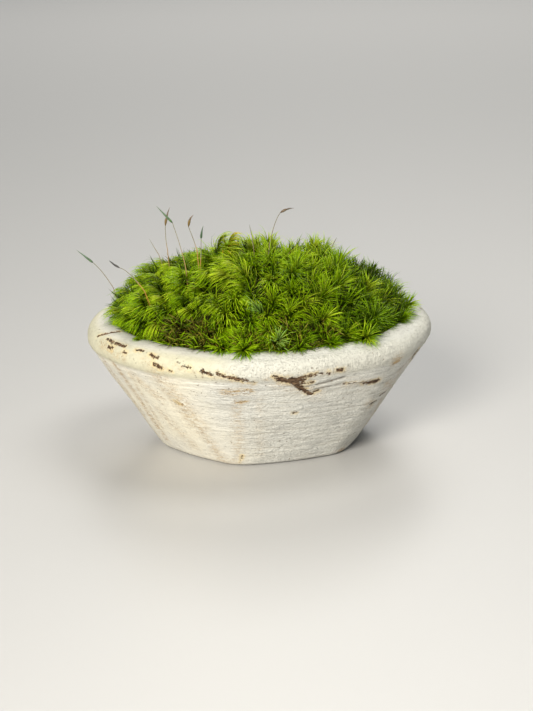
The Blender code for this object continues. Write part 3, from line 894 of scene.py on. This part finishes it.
def build_mat():
    """The dark felt of old stems that the shoots rise from."""
    share = np.linspace(1.0, 0.0, 46)[:-1]
    radius = (DOME_RADIUS - 9.5) * dome_reach(share)
    height = BOWL_TOP - 5 + (DOME_HEIGHT - 5.0) * np.cos(share * math.pi / 2)
    profile = np.concatenate([[(0, 41.6), (20, 41.4), (40, 41.0), (58.0, 41.0), (60.0, 45.0)],
                              np.stack([radius, height], 1), [(0, height[-1] + 0.05)]])
    points, faces = turned_surface(profile, 180)
    upper = smoothstep(48, 54, points[:, 2])
    outward = unit(points - np.array([0, 0, 30.0]))
    push = relief(points) * 0.8 + fine(points * 0.30) * 2.2 + fine(points * 0.8 + 5) * 0.9
    points = points + outward * (push * upper)[:, None]
    n = Nodes("old_stems")
    felt = n.noise((600, 600, 900), 6, 0.7)
    dark, green, brown = (0.006, 0.009, 0.001), (0.028, 0.032, 0.002), (0.095, 0.075, 0.008)
    skin = n.principled({
        "Base Color": n.ramp(felt, [(0.30, dark), (0.52, green), (0.75, brown)]),
        "Roughness": 0.9,
        "Specular IOR Level": 0.08,
        "Normal": n.bump(felt, 0.0008),
    })
    mat = mesh_object("moss_mat", points, faces, skin)
    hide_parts("moss_cushion")


# --- Spore stalks, capsules and hoods ---

# Each stem: three points along its stalk, where its capsule and hood end, and how green the capsule still is.
# A green capsule is covered by its hood nearly down to the stalk. Three stems have no capsule.
STEMS = {
    1: ((-64, 8, 66), (-68.5, 8, 73), (-72.5, 8, 77.5), (-74.5, 8, 79), (-79.5, 9, 83), 0.90),
    2: ((-47.5, -36, 75), (-53.5, -33, 81.5), (-58, -30, 83.7), (-60.5, -29, 85), (-62.5, -28, 86.5), 0.55),
    3: ((-44, 14, 79.5), (-46, 15, 82.5), (-48, 16, 86)),
    4: ((-39, -6, 85.5), (-39.7, -5, 91.5), (-39.7, -4, 96), (-39, -4, 99.5), (-37.5, -4, 104), 0.08),
    5: ((-30.5, -26, 81.5), (-32.5, -22, 89.5), (-36, -18, 100), (-37.7, -18, 102), (-42.5, -17, 107), 0.95),
    6: ((-26, -14, 86.5), (-27, -13, 90), (-29.5, -12, 97), (-28.7, -12, 100.3), (-27.2, -12, 102), 0.0),
    7: ((-24.5, -20, 83), (-24.2, -19, 88.5), (-24.1, -18, 93), (-23.8, -18, 95), (-23, -18, 98.5), 0.85),
    8: ((-2.7, 8, 88), (-3.3, 9, 90.7), (-3.7, 10, 93)),
    9: ((5, 3, 86), (7.4, 4, 94.5), (9.9, 5, 99.0), (12.8, 5, 100.5), (15.8, 5, 100.9), 0.35),
    10: ((32.5, 13, 82), (33.5, 14, 83.7), (34.7, 15, 85.5)),
}
AMBER_STALKS = {2: 1.0, 4: 0.4, 5: 0.5, 6: 0.9, 7: 1.0}  # how amber the lower part is
STALK_BURIED = 8.0


def stalk_line(*places):
    """A smooth line through a stalk's three points, carried on down into the moss."""
    first, middle, last = np.array(places, float)
    pulled = middle * 2 - (first + last) / 2
    t = np.linspace(0, 1, 22)[:, None]
    seen = first * (1 - t) ** 2 + pulled * 2 * t * (1 - t) + last * t**2
    down = unit(unit(seen[0] - seen[1]) - [0, 0, 1.0])
    buried = [seen[0] + down * STALK_BURIED * share for share in (1.0, 0.6, 0.25)]
    return np.concatenate([buried, seen])


def bowed(start, end, share, sideways):
    """Points from start to end at the given shares of the way, bowed sideways by so much in the middle."""
    share = np.asarray(share)[:, None]
    return start + (end - start) * share + sideways * (4 * share * (1 - share))


def tube(name, line, radii, sides, skin, hue, ribs=0.0):
    """A closed round body along a line. Its map holds its hue and the place along it."""
    tangent = unit(np.gradient(line, axis=0))
    one = unit(np.cross(tangent, [[0.3, 1.0, 0.1]]))
    two = np.cross(tangent, one)
    turn = np.linspace(0, math.tau, sides, endpoint=False)
    ribbed = 1 + ribs * np.cos(turn * (sides // 2))
    ring = one[:, None] * np.cos(turn)[None, :, None] + two[:, None] * np.sin(turn)[None, :, None]
    points = (line[:, None] + ring * (radii[:, None] * ribbed)[..., None]).reshape(-1, 3)
    start = line[:1] - tangent[:1] * radii[0] * 0.4
    end = line[-1:] + tangent[-1:] * radii[-1] * 0.6
    points = np.concatenate([points, start, end])
    along = np.concatenate([[0], np.cumsum(np.linalg.norm(np.diff(line, axis=0), axis=1))])
    along = np.append(np.repeat(along / along[-1], sides), [0.0, 1.0])
    uv = 0.01 + 0.98 * np.stack([np.full(len(points), hue), along], 1)
    return mesh_object(name, points, ring_faces(len(line), sides), skin, uv)


def stem_skin(name, colour_of, roughness):
    """A finish whose colour follows the hue and the place along the piece, with fine streaks."""
    n = Nodes(name)
    streaks = n.noise((3000, 3000, 900), 3)
    return n.principled({
        "Base Color": colour_of(n, *n.map_places()),
        "Roughness": roughness,
        "Normal": n.bump(streaks, 0.00006),
    })


def stalk_colour(n, hue, along):
    tan = n.ramp(along, [(0.0, (0.24, 0.17, 0.06)), (0.5, (0.26, 0.21, 0.12)), (1.0, (0.17, 0.16, 0.09))])
    amber = n.times(hue, n.minus(1.0, n.step(along, 0.45, 0.62)))
    return n.mix(amber, tan, (0.46, 0.20, 0.02))


def capsule_colour(n, hue, along):
    base = n.ramp(hue, [
        (0.0, (0.17, 0.105, 0.020)), (0.30, (0.15, 0.095, 0.04)), (0.55, (0.035, 0.030, 0.026)),
        (0.80, (0.06, 0.11, 0.045)), (1.0, (0.09, 0.18, 0.05)),
    ])
    shade = n.ramp(along, [(0.0, 0.55), (0.25, 0.95), (0.75, 1.05), (0.92, 0.45)])
    return n.mix(1.0, base, shade, "MULTIPLY")


def hood_colour(n, hue, along):
    base = n.ramp(hue, [
        (0.0, (0.15, 0.10, 0.055)), (0.30, (0.14, 0.11, 0.075)), (0.55, (0.05, 0.046, 0.042)),
        (0.80, (0.045, 0.09, 0.05)), (1.0, (0.08, 0.15, 0.05)),
    ])
    shade = n.ramp(along, [(0.0, 0.80), (0.35, 1.0), (0.75, 1.0), (1.0, (1.6, 1.2, 1.1))])
    return n.mix(1.0, base, shade, "MULTIPLY")


def build_stems():
    stalk_skin = stem_skin("stalk_skin", stalk_colour, 0.45)
    capsule_skin = stem_skin("capsule_skin", capsule_colour, 0.40)
    hood_skin = stem_skin("hood_skin", hood_colour, 0.35)
    for key, (first, middle, last, *fruit) in STEMS.items():
        number = f"{key:02d}"
        line = stalk_line(first, middle, last)
        ripe = bool(fruit)
        share = np.linspace(0, 1, len(line))
        radii = 0.17 - 0.03 * share if ripe else 0.14 * (1 - share**3) + 0.03
        amber = AMBER_STALKS.get(key, 0.0)
        stalk = tube(f"spore_stalk_{number}", line, radii, 8, stalk_skin, amber)
        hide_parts(f"stalk_{number}")
        if not ripe:
            continue
        capsule_end, hood_end, green = fruit
        hooded = green > 0.7
        foot = line[-1]
        bow = np.array([-0.12, 0.0, 0.12])
        shares = [0.0, 0.08, 0.2, 0.36, 0.55, 0.72, 0.86, 0.95, 1.0]
        girth = np.array([0.24, 0.34, 0.50, 0.64, 0.68, 0.64, 0.54, 0.44, 0.42])
        girth = girth * (0.78 if green < 0.5 else 0.66)
        middle = bowed(foot, capsule_end, shares, bow)
        capsule = tube(f"spore_capsule_{number}", middle, girth, 16, capsule_skin, green, 0.05)
        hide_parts(f"capsule_{number}")
        hood_start = foot + (capsule_end - foot) * (0.15 if hooded else 0.90)
        shares = [0.0, 0.05, 0.15, 0.30, 0.45, 0.60, 0.75, 0.88, 1.0]
        girth = np.array([0.46, 0.56, 0.60, 0.56, 0.44, 0.32, 0.22, 0.14, 0.06])
        girth = girth * (0.80 if hooded else 0.62)
        middle = bowed(hood_start, hood_end, shares, bow * 1.5)
        hood = tube(f"spore_hood_{number}", middle, girth, 14, hood_skin, green, 0.02)
        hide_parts(f"hood_{number}")


# --- Stage, light and camera ---

FLOOR_HALF = 2500.0
FLOOR_GAP = 0.05  # the floor lies this far under the bowl

# Each lamp: its name, its place and the point it faces, its width, all in metres, its watts and its colour.
LAMPS = [
    ("key", (-0.42, -1.16, 0.62), (0, 0, 0.05), 0.50, 25.2, (1.0, 0.965, 0.89)),
    ("above", (0.45, 0.15, 1.20), (0, 0, 0.05), 0.8, 7.5, (1.0, 0.98, 0.93)),
    ("backdrop", (0.2, 2.1, 1.5), (0.1, 1.9, 0.0), 1.6, 28.0, (1.0, 0.98, 0.94)),
]
SKY_COLOUR = (0.90, 0.96, 1.0, 1)
SKY_STRENGTH = 0.24

# The camera's place and the point it faces are in metres.
CAMERA_PLACE = Vector((0.0, -0.7727, 0.2546))
CAMERA_AIM = Vector((0.0028, 0.0, 0.0362))
CAMERA_LENS = 92.4
CAMERA_ROLL = math.radians(-0.9)


def facing(place, aim):
    return (Vector(aim) - Vector(place)).to_track_quat("-Z", "Y")


def build_stage():
    half, low = FLOOR_HALF * MM, -FLOOR_GAP * MM
    corners = [(-half, -half, low), (half, -half, low), (half, half, low), (-half, half, low)]
    data = bpy.data.meshes.new("floor")
    data.from_pydata(corners, [], [(0, 1, 2, 3)])
    floor = add_object("floor", data)
    n = Nodes("pale_floor")
    data.materials.append(n.principled({"Base Color": (0.50, 0.49, 0.475), "Roughness": 0.40}))


def build_light():
    for name, place, aim, width, power, colour in LAMPS:
        data = bpy.data.lights.new(name, "AREA")
        data.shape = "DISK"
        data.size = width
        data.energy = power
        data.color = colour
        lamp = add_object(name, data)
        lamp.location = place
        lamp.rotation_euler = facing(place, aim).to_euler()
    world = bpy.data.worlds.new("studio")
    bpy.context.scene.world = world
    world.use_nodes = True
    sky = world.node_tree.nodes["Background"]
    sky.inputs[0].default_value = SKY_COLOUR
    sky.inputs[1].default_value = SKY_STRENGTH


def build_camera():
    data = bpy.data.cameras.new("camera")
    data.lens = CAMERA_LENS
    camera = add_object("camera", data)
    turned = facing(CAMERA_PLACE, CAMERA_AIM).to_matrix().to_4x4()
    camera.matrix_world = Matrix.Translation(CAMERA_PLACE) @ turned @ Matrix.Rotation(CAMERA_ROLL, 4, "Z")
    bpy.context.scene.camera = camera


build_bowl()
build_medium()
build_mat()
build_moss()
build_stems()
build_stage()
build_light()
build_camera()
bpy.context.scene.view_settings.view_transform = "Standard"
